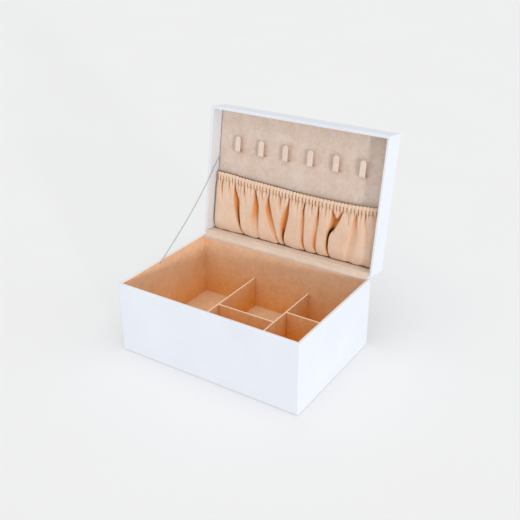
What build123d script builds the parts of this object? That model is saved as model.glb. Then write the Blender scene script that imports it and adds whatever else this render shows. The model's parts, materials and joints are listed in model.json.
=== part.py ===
"""Jewellery case with a deep hinged lid, open against its stay cord.

Frame: millimetres, +Z up, origin at the centre of the underside. The front faces -Y and
the lid is hinged along the rear, at +Y. The lid's pieces are drawn on the LID plane:
local X is the case's X, local Y runs from the hinge side to the lid's front edge, and
local Z comes out of the lid's mouth, from 0 at the lid's rim.
"""

from build123d import *

import os
from math import cos, radians, sin, tan

os.makedirs("parts", exist_ok=True)

# Outer sizes
WIDTH = 300.0
DEPTH = 205.0
BASE_HEIGHT = 111.0
LID_DEPTH = 37.0
OPEN_ANGLE = 99.0
CORNER_RADIUS = 1.0

# What the walls are built up from
WRAP = 0.6
BOARD = 3.0
LINING = 1.0
CLOTH = 0.6
CLOTH_LIFT = 0.1
WALL = WRAP + BOARD
CLEAR = 0.3

# Base
UNDERSIDE = 0.5
UNDERSIDE_INSET = 1.5
BOTTOM_BOARD = 4.0
FLOOR_TOP = 10.0
LINING_TOP = BASE_HEIGHT - 0.4
REAR_LINING_TOP = BASE_HEIGHT - 5.2
DIVIDER = 2.2
DIVIDER_TOP = 60.0
LEFT_DIVIDER_X = -47.5
RIGHT_DIVIDER_X = 50.3
CENTRE_CROSS_Y = -1.5
RIGHT_CROSS_Y = 32.0

# Lid
PANEL_DEPTH = 24.0
PANEL = 4.0
PANEL_REAR = WALL + 1.2
PANEL_SIDE_GAP = 0.2

# Necklace hooks
HOOK_COUNT = 6
HOOK_PITCH = 43.1
HOOK_WIDTH = 10.0
HOOK_THICKNESS = 2.4
HOOK_GAP = 5.0
HOOK_FOOT = 136.5
HOOK_TIP = 162.0
HOOK_BEND = 2.2
HOOK_TIP_RADIUS = 4.9

# Gathered pocket: distances along the lid, and the room behind its cloth
POCKET_FOOT = 7.5
POCKET_MOUTH = 101.0
POCKET_CLOTH = 1.2
POCKET_ROOM = 10.0
POCKET_BULGE = 12.0
ELASTIC = 0.8
ELASTIC_HEIGHT = 8.0
ELASTIC_DROP = 2.0

# Hinges: two small butt hinges screwed on the back
HINGE_X = 95.0
LEAF = 0.9
LEAF_WIDTH = 24.0
LEAF_HEIGHT = 13.0
KNUCKLE_RADIUS = 1.25
KNUCKLE = LEAF_WIDTH / 3
EAR_START = 0.4
AXIS_OFFSET = 1.6
RIM_GAP = 0.3
PIN_RADIUS = 0.6
PIN_CLEARANCE = 0.05
SCREW_PITCH = 14.0
SCREW_DROP = 7.5
SCREW_RADIUS = 0.8
SCREW_HEAD_RADIUS = 1.6
SCREW_HEAD = SCREW_HEAD_RADIUS - SCREW_RADIUS
SCREW_LENGTH = 3.9
SCREW_SLOT = 0.4

# Stay cord, from its slot in the left lining to the panel's left edge
CORD = 2.0
CORD_SLOT = 2.4
CORD_NOTCH = 11.0
CORD_POINTS = [
    (-145.4, -13.0, 107.9),
    (-145.3, 21.0, 129.4),
    (-144.9, 55.0, 152.9),
    (-144.6, 87.5, 178.1),
    (-144.5, 117.7, 204.4),
    (-144.5, 147.0, 232.2),
]

# Half sizes to the outside of the boards, to the inside of the lining and of the lid
BOARD_X = WIDTH / 2 - WRAP
BOARD_Y = DEPTH / 2 - WRAP
INNER_X = WIDTH / 2 - WALL - LINING
INNER_Y = DEPTH / 2 - WALL - LINING
LID_INNER_X = WIDTH / 2 - WALL - WRAP
LID_FRONT_Y = DEPTH - WALL - WRAP
BOARD_BOTTOM = UNDERSIDE + BOTTOM_BOARD
BOARD_TOP = BASE_HEIGHT - WRAP
LID_BOARD_BACK = LID_DEPTH - WALL

# The hinge axis, behind the rear face and halfway between the closed rims, and the open
# lid's directions: along it from the hinge, and into it from its rim to its top
AXIS = Vector(0, DEPTH / 2 + AXIS_OFFSET, BASE_HEIGHT + RIM_GAP / 2)
ALONG = Vector(0, -cos(radians(OPEN_ANGLE)), sin(radians(OPEN_ANGLE)))
INTO = Vector(0, sin(radians(OPEN_ANGLE)), cos(radians(OPEN_ANGLE)))
LID_CORNER = AXIS + ALONG * AXIS_OFFSET + INTO * (RIM_GAP / 2)
LID = Plane(origin=LID_CORNER, x_dir=(1, 0, 0), z_dir=-INTO)

# The two backs that the hinges lie on: local Y leads away from the hinge line
BASE_BACK = Plane(origin=(0, DEPTH / 2, BASE_HEIGHT), x_dir=(1, 0, 0), z_dir=(0, 1, 0))
LID_BACK = Plane(origin=LID_CORNER, x_dir=(-1, 0, 0), z_dir=-ALONG)

SCREW_CENTRES = [
    (side * HINGE_X + step * SCREW_PITCH / 2, SCREW_DROP)
    for side in (-1, 1)
    for step in (-1, 1)
]


def lid_level(depth):
    """The LID plane moved into the lid by depth."""
    return LID.offset(-depth)


def save(piece, name):
    piece.part.label = name
    export_step(piece.part, f"parts/{name}.step")


def slab(plane, centre, size, thickness):
    """A plain rectangular sheet or board that rises from a plane."""
    with BuildPart() as sheet:
        with BuildSketch(plane):
            with Locations(centre):
                Rectangle(*size)
        extrude(amount=thickness)
    return sheet


def screw_shanks(back):
    """The shanks of the hinge screws on one back, to drill their holes with."""
    with BuildPart() as shanks:
        with BuildSketch(back.offset(LEAF - SCREW_LENGTH)):
            with Locations(*SCREW_CENTRES):
                Circle(SCREW_RADIUS)
        extrude(amount=SCREW_LENGTH)
    return shanks.part


base_shanks = screw_shanks(BASE_BACK)
lid_shanks = screw_shanks(LID_BACK)


# ---- Base: underside sheet and boards ----

underside_size = (WIDTH - 2 * UNDERSIDE_INSET, DEPTH - 2 * UNDERSIDE_INSET)
save(slab(Plane.XY, (0, 0), underside_size, UNDERSIDE), "base_underside_sheet")

bottom_plane = Plane.XY.offset(UNDERSIDE)
bottom_size = (2 * BOARD_X, 2 * BOARD_Y)
save(slab(bottom_plane, (0, 0), bottom_size, BOTTOM_BOARD), "base_bottom_board")

wall_plane = Plane.XY.offset(BOARD_BOTTOM)
wall_height = BOARD_TOP - BOARD_BOTTOM
long_size = (2 * BOARD_X, BOARD)
side_size = (BOARD, 2 * (BOARD_Y - BOARD))
wall_x = BOARD_X - BOARD / 2
wall_y = BOARD_Y - BOARD / 2
save(slab(wall_plane, (0, -wall_y), long_size, wall_height), "base_front_wall")
save(slab(wall_plane, (-wall_x, 0), side_size, wall_height), "base_left_wall")
save(slab(wall_plane, (wall_x, 0), side_size, wall_height), "base_right_wall")

with BuildPart() as base_rear_wall:
    with BuildSketch(wall_plane):
        with Locations((0, wall_y)):
            Rectangle(*long_size)
    extrude(amount=wall_height)
    add(base_shanks, mode=Mode.SUBTRACT)
save(base_rear_wall, "base_rear_wall")

# ---- Base: leatherette round the walls and over three rims ----

with BuildPart() as base_wrap:
    with BuildSketch(Plane.XY.offset(UNDERSIDE)):
        RectangleRounded(WIDTH, DEPTH, CORNER_RADIUS)
    extrude(amount=BASE_HEIGHT - UNDERSIDE)
    with BuildSketch(Plane.XY.offset(UNDERSIDE)):
        Rectangle(2 * BOARD_X, 2 * BOARD_Y)
    extrude(amount=BOARD_TOP - UNDERSIDE, mode=Mode.SUBTRACT)
    with BuildSketch(Plane.XY.offset(BOARD_TOP)):
        with Locations((0, WALL / 2)):
            Rectangle(WIDTH - 2 * WALL, DEPTH - WALL)
    extrude(amount=WRAP, mode=Mode.SUBTRACT)
    add(base_shanks, mode=Mode.SUBTRACT)
save(base_wrap, "base_wrap")

# ---- Base: suede-covered floor, linings and dividers ----

save(
    slab(wall_plane, (0, 0), (2 * INNER_X, 2 * INNER_Y), FLOOR_TOP - BOARD_BOTTOM),
    "floor_pad",
)

lining_height = LINING_TOP - BOARD_BOTTOM
long_lining = (2 * (INNER_X + LINING), LINING)
side_lining = (LINING, 2 * INNER_Y)
lining_x = INNER_X + LINING / 2
lining_y = INNER_Y + LINING / 2
rear_lining_height = REAR_LINING_TOP - BOARD_BOTTOM
save(slab(wall_plane, (0, -lining_y), long_lining, lining_height), "front_lining")
save(slab(wall_plane, (0, lining_y), long_lining, rear_lining_height), "rear_lining")
save(slab(wall_plane, (lining_x, 0), side_lining, lining_height), "right_lining")

# The left lining has a slanted slot at its top edge, where the stay cord comes out
cord_start = Vector(*CORD_POINTS[0])
cord_slope = (Vector(*CORD_POINTS[1]) - cord_start).normalized()

with BuildPart() as left_lining:
    with BuildSketch(wall_plane):
        with Locations((-lining_x, 0)):
            Rectangle(*side_lining)
    extrude(amount=lining_height)
    with BuildSketch(Plane(origin=cord_start, x_dir=cord_slope, z_dir=(1, 0, 0))):
        with Locations((CORD_NOTCH / 2 - CORD_SLOT / 2, 0)):
            SlotOverall(CORD_NOTCH, CORD_SLOT)
    extrude(amount=LINING, both=True, mode=Mode.SUBTRACT)
save(left_lining, "left_lining")

floor_plane = Plane.XY.offset(FLOOR_TOP)
divider_height = DIVIDER_TOP - FLOOR_TOP


def long_divider(x):
    """A divider from the front lining to the rear one."""
    return slab(floor_plane, (x, 0), (DIVIDER, 2 * INNER_Y), divider_height)


def cross_divider(left, right, y):
    """A divider from x = left to x = right."""
    centre = ((left + right) / 2, y)
    return slab(floor_plane, centre, (right - left, DIVIDER), divider_height)


left_face = LEFT_DIVIDER_X + DIVIDER / 2
right_faces = (RIGHT_DIVIDER_X - DIVIDER / 2, RIGHT_DIVIDER_X + DIVIDER / 2)
save(long_divider(LEFT_DIVIDER_X), "left_divider")
save(long_divider(RIGHT_DIVIDER_X), "right_divider")
save(cross_divider(left_face, right_faces[0], CENTRE_CROSS_Y), "centre_cross_divider")
save(cross_divider(right_faces[1], INNER_X, RIGHT_CROSS_Y), "right_cross_divider")

# ---- Lid: boards ----

top_plane = lid_level(LID_DEPTH - WRAP)
save(slab(top_plane, (0, DEPTH / 2), bottom_size, BOARD), "lid_top_board")

lid_wall_plane = lid_level(LID_BOARD_BACK)
lid_wall_height = LID_BOARD_BACK - WRAP
front_centre = (0, DEPTH - WRAP - BOARD / 2)
rear_centre = (0, WRAP + BOARD / 2)
left_centre = (-wall_x, DEPTH / 2)
right_centre = (wall_x, DEPTH / 2)
save(slab(lid_wall_plane, front_centre, long_size, lid_wall_height), "lid_front_wall")
save(slab(lid_wall_plane, left_centre, side_size, lid_wall_height), "lid_left_wall")
save(slab(lid_wall_plane, right_centre, side_size, lid_wall_height), "lid_right_wall")

with BuildPart() as lid_rear_wall:
    with BuildSketch(lid_wall_plane):
        with Locations(rear_centre):
            Rectangle(*long_size)
    extrude(amount=lid_wall_height)
    add(lid_shanks, mode=Mode.SUBTRACT)
save(lid_rear_wall, "lid_rear_wall")

# ---- Lid: leatherette over the outside, three rims and the inside down to the panel ----

with BuildPart() as lid_wrap:
    with BuildSketch(lid_level(LID_DEPTH)):
        with Locations((0, DEPTH / 2)):
            RectangleRounded(WIDTH, DEPTH, CORNER_RADIUS)
    extrude(amount=LID_DEPTH)
    with BuildSketch(lid_level(LID_DEPTH - WRAP)):
        with Locations((0, DEPTH / 2)):
            Rectangle(2 * BOARD_X, 2 * BOARD_Y)
    extrude(amount=LID_DEPTH - 2 * WRAP, mode=Mode.SUBTRACT)
    with BuildSketch(lid_level(PANEL_DEPTH)):
        with Locations((0, DEPTH / 2)):
            Rectangle(WIDTH - 2 * WALL, DEPTH - 2 * WALL)
    extrude(amount=PANEL_DEPTH)
    with BuildSketch(lid_level(PANEL_DEPTH)):
        with Locations((0, (WALL + LID_FRONT_Y) / 2)):
            Rectangle(2 * LID_INNER_X, LID_FRONT_Y - WALL)
    extrude(amount=PANEL_DEPTH, mode=Mode.SUBTRACT)
    with BuildSketch(lid_level(WRAP)):
        with Locations((0, WALL / 2)):
            Rectangle(2 * LID_INNER_X, WALL)
    extrude(amount=WRAP, mode=Mode.SUBTRACT)
    add(lid_shanks, mode=Mode.SUBTRACT)
save(lid_wrap, "lid_wrap")

# ---- Lid: suede panel on its spacer ----

panel_front = LID_FRONT_Y - PANEL_SIDE_GAP
panel_size = (2 * (LID_INNER_X - PANEL_SIDE_GAP), panel_front - PANEL_REAR)
panel_centre = (0, (panel_front + PANEL_REAR) / 2)
spacer_height = LID_BOARD_BACK - PANEL_DEPTH - PANEL
save(slab(lid_wall_plane, panel_centre, panel_size, spacer_height), "lid_spacer")

hook_xs = [(i - (HOOK_COUNT - 1) / 2) * HOOK_PITCH for i in range(HOOK_COUNT)]
cord_end = LID.to_local_coords(Vector(*CORD_POINTS[-1]))

with BuildPart() as lid_panel:
    with BuildSketch(lid_level(PANEL_DEPTH + PANEL)):
        with Locations(panel_centre):
            Rectangle(*panel_size)
        with Locations(*[(x, HOOK_FOOT + HOOK_THICKNESS / 2) for x in hook_xs]):
            Rectangle(HOOK_WIDTH, HOOK_THICKNESS, mode=Mode.SUBTRACT)
        with Locations((-panel_size[0] / 2, cord_end.Y)):
            Rectangle(2 * CORD_SLOT + CORD, CORD_NOTCH, mode=Mode.SUBTRACT)
    extrude(amount=PANEL)
save(lid_panel, "lid_panel")

# ---- Lid: necklace hooks ----


def panel_side(x):
    """The plane across the panel's front face at x: local X along the lid, Y out of it."""
    origin = LID.from_local_coords(Vector(x, 0, -PANEL_DEPTH))
    return Plane(origin=origin, x_dir=ALONG, z_dir=(1, 0, 0))


def necklace_hook(x):
    """A round-topped tab, bent at its foot, which goes through the panel."""
    face = HOOK_GAP + HOOK_THICKNESS
    inside = HOOK_FOOT + HOOK_THICKNESS
    with BuildPart() as hook:
        with BuildSketch(panel_side(x)) as profile:
            with BuildLine():
                Polyline(
                    (HOOK_FOOT, -PANEL),
                    (HOOK_FOOT, face),
                    (HOOK_TIP, face),
                    (HOOK_TIP, HOOK_GAP),
                    (inside, HOOK_GAP),
                    (inside, -PANEL),
                    close=True,
                )
            make_face()
            elbow = profile.vertices().sort_by_distance((HOOK_FOOT, face))[0]
            fillet(elbow, HOOK_BEND)
        extrude(amount=HOOK_WIDTH / 2, both=True)
        with BuildSketch(lid_level(PANEL_DEPTH + PANEL)) as outline:
            with Locations((x, (HOOK_FOOT + HOOK_TIP) / 2)):
                Rectangle(HOOK_WIDTH, HOOK_TIP - HOOK_FOOT)
            fillet(outline.vertices().group_by(Axis.Y)[-1], HOOK_TIP_RADIUS)
        extrude(amount=PANEL + face, mode=Mode.INTERSECT)
    return hook


for number, hook_x in enumerate(hook_xs, start=1):
    save(necklace_hook(hook_x), f"hook_{number}")

# ---- Lid: gathered pocket and its elastic ----

pocket_middle = POCKET_ROOM + POCKET_CLOTH / 2
pocket_width = 2 * (LID_INNER_X - CLEAR)

with BuildPart() as pocket_fabric:
    with BuildSketch(panel_side(0)):
        with BuildLine():
            FilletPolyline(
                (POCKET_FOOT, POCKET_CLOTH),
                (POCKET_FOOT + POCKET_BULGE, pocket_middle),
                (POCKET_MOUTH, pocket_middle),
                radius=POCKET_BULGE,
            )
        trace(line_width=POCKET_CLOTH)
    extrude(amount=pocket_width / 2, both=True)
save(pocket_fabric, "pocket_fabric")

with BuildPart() as pocket_elastic:
    with BuildSketch(panel_side(0)):
        with Locations(
            (
                POCKET_MOUTH - ELASTIC_DROP - ELASTIC_HEIGHT / 2,
                POCKET_ROOM - ELASTIC / 2,
            )
        ):
            Rectangle(ELASTIC_HEIGHT, ELASTIC)
    extrude(amount=pocket_width / 2, both=True)
save(pocket_elastic, "pocket_elastic")

# ---- Hinges ----


def axis_plane(x):
    """The plane across the hinge axis at x."""
    return Plane(origin=AXIS + Vector(x, 0, 0), x_dir=(0, 1, 0), z_dir=(1, 0, 0))


def hinge_leaf(back, x, knuckles, bore):
    """A leaf on one back at x. knuckles are its knuckles' places along the hinge."""
    plate_start = KNUCKLE_RADIUS + CLEAR - RIM_GAP / 2
    half_knuckle = (KNUCKLE - CLEAR) / 2
    local_x = x * back.x_dir.X
    screw_xs = [local_x + step * SCREW_PITCH / 2 for step in (-1, 1)]
    with BuildPart() as leaf:
        with BuildSketch(back):
            with Locations((local_x, (plate_start + LEAF_HEIGHT) / 2)):
                Rectangle(LEAF_WIDTH, LEAF_HEIGHT - plate_start)
            ear_centre = (EAR_START + plate_start) / 2
            with Locations(*[(local_x + k, ear_centre) for k in knuckles]):
                Rectangle(2 * half_knuckle, plate_start - EAR_START)
        extrude(amount=LEAF)
        for k in knuckles:
            with BuildSketch(axis_plane(x + k)):
                Circle(KNUCKLE_RADIUS)
            extrude(amount=half_knuckle, both=True)
        with BuildSketch(axis_plane(x)):
            Circle(bore)
        extrude(amount=LEAF_WIDTH, both=True, mode=Mode.SUBTRACT)
        with Locations(back.offset(LEAF)):
            with Locations(*[(screw_x, SCREW_DROP) for screw_x in screw_xs]):
                CounterSinkHole(SCREW_RADIUS, SCREW_HEAD_RADIUS, LEAF, 90)
    return leaf


def hinge_pin(x):
    with BuildPart() as pin:
        with BuildSketch(axis_plane(x)):
            Circle(PIN_RADIUS)
        extrude(amount=LEAF_WIDTH / 2, both=True)
    return pin


def hinge_screws(back):
    """The countersunk screws of both leaves on one back."""
    with BuildPart() as screws:
        with BuildSketch(back.offset(LEAF - SCREW_LENGTH)):
            with Locations(*SCREW_CENTRES):
                Circle(SCREW_RADIUS)
        extrude(amount=SCREW_LENGTH - SCREW_HEAD)
        with Locations(back.offset(LEAF - SCREW_HEAD / 2)):
            with Locations(*SCREW_CENTRES):
                Cone(SCREW_RADIUS, SCREW_HEAD_RADIUS, SCREW_HEAD)
        with BuildSketch(back.offset(LEAF)):
            with Locations(*SCREW_CENTRES):
                Rectangle(2 * SCREW_HEAD_RADIUS, SCREW_SLOT)
        extrude(amount=-SCREW_SLOT, mode=Mode.SUBTRACT)
    return screws


outer_knuckles = (-KNUCKLE, KNUCKLE)
for side, hinge_x in (("left", -HINGE_X), ("right", HINGE_X)):
    base_leaf = hinge_leaf(BASE_BACK, hinge_x, outer_knuckles, PIN_RADIUS)
    lid_leaf = hinge_leaf(LID_BACK, hinge_x, (0,), PIN_RADIUS + PIN_CLEARANCE)
    save(base_leaf, f"hinge_{side}_base_leaf")
    save(lid_leaf, f"hinge_{side}_lid_leaf")
    save(hinge_pin(hinge_x), f"hinge_{side}_pin")
save(hinge_screws(BASE_BACK), "base_hinge_screws")
save(hinge_screws(LID_BACK), "lid_hinge_screws")

# ---- Cloth over the inside of the joint, from the rear lining to the lid's panel ----


def on_lid(y, z):
    """A point of the open lid in the YZ plane: y along it, z out of its mouth."""
    point = LID_CORNER + ALONG * y - INTO * z
    return (point.Y, point.Z)


cloth_wall_y = INNER_Y + LINING - CLOTH / 2 - CLOTH_LIFT
cloth_rim_z = BOARD_TOP + CLOTH / 2 + CLOTH_LIFT
cloth_lid_y = WALL + CLEAR + CLOTH / 2

with BuildPart() as hinge_cloth:
    with BuildSketch(Plane.YZ):
        with BuildLine():
            FilletPolyline(
                (cloth_wall_y, REAR_LINING_TOP + CLEAR),
                (cloth_wall_y, cloth_rim_z),
                (DEPTH / 2 - 1, cloth_rim_z),
                on_lid(1.5, CLOTH),
                on_lid(cloth_lid_y, 0),
                on_lid(cloth_lid_y, CLOTH - PANEL_DEPTH),
                radius=CLOTH,
            )
        trace(line_width=CLOTH)
    extrude(amount=LID_INNER_X - CLEAR, both=True)
save(hinge_cloth, "hinge_cloth")

# ---- Stay cord: straight runs joined by the largest arcs that the runs allow ----


def corner_radii(points):
    """0.45 of the shorter run beside each corner, over the tangent of half its turn."""
    runs = [Vector(*b) - Vector(*a) for a, b in zip(points, points[1:])]
    return [
        0.45 * min(a.length, b.length) / tan(radians(a.get_angle(b)) / 2)
        for a, b in zip(runs, runs[1:])
    ]


cord_radii = corner_radii(CORD_POINTS)
with BuildPart() as stay_cord:
    with BuildLine() as route:
        FilletPolyline(*CORD_POINTS, radius=cord_radii)
    with BuildSketch(Plane(origin=route.line @ 0, z_dir=route.line % 0)):
        Circle(CORD / 2)
    sweep()
save(stay_cord, "stay_cord")

cord_length = sum(edge.length for edge in route.edges())
print("stay cord: arc radii", [round(r) for r in cord_radii], "mm")
print(f"stay cord: length {cord_length:.1f} mm, volume {stay_cord.part.volume:.1f}")
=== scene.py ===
"""Looks of the jewellery case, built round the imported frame.

Everything is in metres in the part's frame: +Z up, the front facing -Y, the origin under
the middle of the base. Sizes are written in millimetres, as in the part's source, and
turned into metres by the mesh helpers.
"""

import json

import bpy
import numpy as np
from math import cos, pi, radians, sin
from mathutils import Matrix, Vector


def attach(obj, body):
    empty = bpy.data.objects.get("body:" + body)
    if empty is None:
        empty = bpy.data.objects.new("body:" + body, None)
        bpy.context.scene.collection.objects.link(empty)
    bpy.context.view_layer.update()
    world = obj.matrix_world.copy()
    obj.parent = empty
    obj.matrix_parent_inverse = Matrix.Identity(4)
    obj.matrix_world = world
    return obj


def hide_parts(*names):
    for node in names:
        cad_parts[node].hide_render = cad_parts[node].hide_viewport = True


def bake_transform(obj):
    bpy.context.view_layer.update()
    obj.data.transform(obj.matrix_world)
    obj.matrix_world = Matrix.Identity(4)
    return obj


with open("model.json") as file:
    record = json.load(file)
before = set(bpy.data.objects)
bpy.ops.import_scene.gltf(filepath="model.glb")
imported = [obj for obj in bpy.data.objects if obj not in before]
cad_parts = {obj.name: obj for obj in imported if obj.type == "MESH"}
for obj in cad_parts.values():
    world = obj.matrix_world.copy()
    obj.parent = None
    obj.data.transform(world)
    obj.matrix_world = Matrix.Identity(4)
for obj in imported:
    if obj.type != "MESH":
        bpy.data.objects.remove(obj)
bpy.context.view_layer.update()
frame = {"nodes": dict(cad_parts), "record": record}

MM = 0.001

# ---- Sizes shared with the part's source, in millimetres ----

WIDTH, DEPTH, BASE_HEIGHT = 300.0, 205.0, 111.0
OPEN_ANGLE = 99.0
LINING = 1.0
FLOOR_TOP, DIVIDER, DIVIDER_TOP = 10.0, 2.2, 60.0
LEFT_DIVIDER_X, RIGHT_DIVIDER_X = -47.5, 50.3
CENTRE_CROSS_Y, RIGHT_CROSS_Y = -1.5, 32.0
INNER_X, INNER_Y = 145.4, 97.9
LINING_TOP, REAR_LINING_TOP = BASE_HEIGHT - 0.4, BASE_HEIGHT - 5.2
PANEL_DEPTH = 24.0
PANEL_LEFT, PANEL_REAR, PANEL_FRONT = -145.6, 4.8, 200.6
HOOK_COUNT, HOOK_PITCH, HOOK_WIDTH, HOOK_THICKNESS = 6, 43.1, 10.0, 2.4
HOOK_GAP, HOOK_FOOT, HOOK_TIP = 5.0, 136.5, 162.0
POCKET_HALF = 145.5
CORD = 2.0
CORD_POINTS = [
    (-145.4, -13.0, 107.9),
    (-145.3, 21.0, 129.4),
    (-144.9, 55.0, 152.9),
    (-144.6, 87.5, 178.1),
    (-144.5, 117.7, 204.4),
    (-144.5, 147.0, 232.2),
]

# The hinge axis, the open lid's directions and the corner of its rim over the hinges
AXIS = np.array((0.0, 104.1, 111.15))
ALONG = np.array((0.0, -cos(radians(OPEN_ANGLE)), sin(radians(OPEN_ANGLE))))
INTO = np.array((0.0, sin(radians(OPEN_ANGLE)), cos(radians(OPEN_ANGLE))))
ACROSS = np.array((1.0, 0.0, 0.0))
LID_CORNER = AXIS + ALONG * 1.6 + INTO * 0.15


def on_lid(x, v, n):
    """Points of the open lid: x across, v along it from the hinge, n out of its mouth."""
    x, v, n = np.broadcast_arrays(x, v, n)
    return (
        LID_CORNER
        + x[..., None] * ACROSS
        + v[..., None] * ALONG
        - n[..., None] * INTO
    )


def on_base(x, y, z):
    return np.stack(np.broadcast_arrays(x, y, z), axis=-1).astype(float)


# ---- Mesh helpers ----


def smoothstep(t):
    t = np.clip(t, 0, 1)
    return t * t * (3 - 2 * t)


def mesh_piece(name, points, faces, material, sharp=50):
    """A smooth-shaded object from points in millimetres. Its edges over sharp degrees stay crisp."""
    mesh = bpy.data.meshes.new(name)
    points = np.asarray(points, float).reshape(-1, 3) * MM
    mesh.from_pydata(points.tolist(), [], [tuple(int(i) for i in f) for f in faces])
    mesh.materials.append(material)
    mesh.shade_smooth()
    mesh.set_sharp_from_angle(angle=radians(sharp))
    mesh.update()
    piece = bpy.data.objects.new(name, mesh)
    bpy.context.scene.collection.objects.link(piece)
    return piece


def grid_faces(rows, columns, closed_rows=False, closed_columns=False):
    """Quads between the points of a grid of rows x columns."""
    last_row = rows if closed_rows else rows - 1
    last_column = columns if closed_columns else columns - 1
    r, c = np.meshgrid(np.arange(last_row), np.arange(last_column), indexing="ij")
    r2, c2 = (r + 1) % rows, (c + 1) % columns
    quads = np.stack([r * columns + c, r2 * columns + c, r2 * columns + c2, r * columns + c2], -1)
    return quads.reshape(-1, 4)


def attribute(piece, name, values):
    """A number for each vertex, for the material to read."""
    layer = piece.data.attributes.new(name, "FLOAT", "POINT")
    layer.data.foreach_set("value", np.asarray(values, np.float32).ravel())


def finish_piece(piece, body, slot, *nodes):
    """The piece rides on a body and stands for CAD nodes, which it hides; slot is not used."""
    if nodes:
        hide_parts(*nodes)
    if body:
        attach(piece, body)
    return piece


def rounded_box(name, low, high, radius, material):
    """A board with soft edges between two corners."""
    low, high = np.array(low, float), np.array(high, float)
    corners = [
        (x, y, z) for x in (low[0], high[0]) for y in (low[1], high[1]) for z in (low[2], high[2])
    ]
    faces = [(0, 1, 3, 2), (4, 6, 7, 5), (0, 4, 5, 1), (2, 3, 7, 6), (0, 2, 6, 4), (1, 5, 7, 3)]
    piece = mesh_piece(name, corners, faces, material, sharp=180)
    bevel = piece.modifiers.new("soft edges", "BEVEL")
    bevel.width = radius * MM
    bevel.segments = 4
    bevel.harden_normals = True
    bevel.limit_method = "NONE"
    return piece


def rounded_loop(inset, corner, half_width, low_y, high_y):
    """Points round a rectangle with rounded corners, the same number for any inset."""
    radius = max(corner - inset, 0.12)
    steps = 8
    support = 0.8
    x_half, low, high = half_width - inset, low_y + inset, high_y - inset
    centres = [
        (x_half - radius, low + radius, -90),
        (x_half - radius, high - radius, 0),
        (-x_half + radius, high - radius, 90),
        (-x_half + radius, low + radius, 180),
    ]
    loop = []
    for x, y, start in centres:
        turn = [radians(start + 90 * i / steps) for i in range(steps + 1)]
        before = (sin(turn[0]), -cos(turn[0]))
        after = (-sin(turn[-1]), cos(turn[-1]))
        arc = [(x + radius * cos(t), y + radius * sin(t)) for t in turn]
        loop.append((arc[0][0] + support * before[0], arc[0][1] + support * before[1]))
        loop += arc
        loop.append((arc[-1][0] + support * after[0], arc[-1][1] + support * after[1]))
    return np.array(loop)


def turn(start, end, centre_inset, centre_height, radius, steps=5):
    """Profile points (inset, height) round an arc between two angles in degrees."""
    angles = np.radians(np.linspace(start, end, steps + 1))
    return [(centre_inset - radius * cos(a), centre_height + radius * sin(a)) for a in angles]


def smooth_curve(points, count):
    """A Catmull-Rom curve through points, at even spacing along it."""
    p = np.array(points, float)
    p = np.vstack([2 * p[0] - p[1], p, 2 * p[-1] - p[-2]])
    t = np.linspace(0, 1, 24, endpoint=False)[:, None]
    parts = []
    for a, b, c, d in zip(p, p[1:], p[2:], p[3:]):
        straight = 2 * b + (c - a) * t
        square = (2 * a - 5 * b + 4 * c - d) * t**2
        cube = (3 * b - a - 3 * c + d) * t**3
        parts.append(0.5 * (straight + square + cube))
    dense = np.vstack([*parts, p[-2:-1]])
    along = np.concatenate([[0], np.cumsum(np.linalg.norm(np.diff(dense, axis=0), axis=1))])
    wanted = np.linspace(0, along[-1], count)
    return np.stack([np.interp(wanted, along, dense[:, i]) for i in range(dense.shape[1])], 1)


def wander(x, seed, sizes):
    """A smooth wavy line made of a few sines with fixed random phases."""
    draw = np.random.default_rng(seed)
    total = 0
    for size in sizes:
        total = total + np.sin(x * 2 * pi / (size * draw.uniform(0.85, 1.15)) + draw.uniform(0, 2 * pi))
    return total / len(sizes)


def mouth_sag(x):
    """How far the pocket's mouth hangs below a straight line, in millimetres."""
    line = smooth_curve(
        [
            (-146, 0), (-115, 0.3), (-85, 2.6), (-50, 3.8), (-15, 5.2), (20, 6.5), (60, 6.6),
            (95, 6.0), (120, 4.4), (146, 2.0),
        ],
        80,
    )
    return np.interp(x, line[:, 0], line[:, 1])


# ---- Materials ----

LEATHER_LOW, LEATHER_HIGH = (0.79, 0.825, 0.89, 1), (0.82, 0.855, 0.915, 1)
PAPER_LOW, PAPER_HIGH = (0.90, 0.90, 0.90, 1), (0.91, 0.91, 0.91, 1)
# Painted highlight colour for the lit top edges of the lining and dividers
EDGE_PAINTED_HIGHLIGHT = (0.97, 0.82, 0.68)
# Painted near-black shade for the deepest folds
DEEPEST_PAINTED_SHADE = (0.06, 0.025, 0.01, 1)


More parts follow.
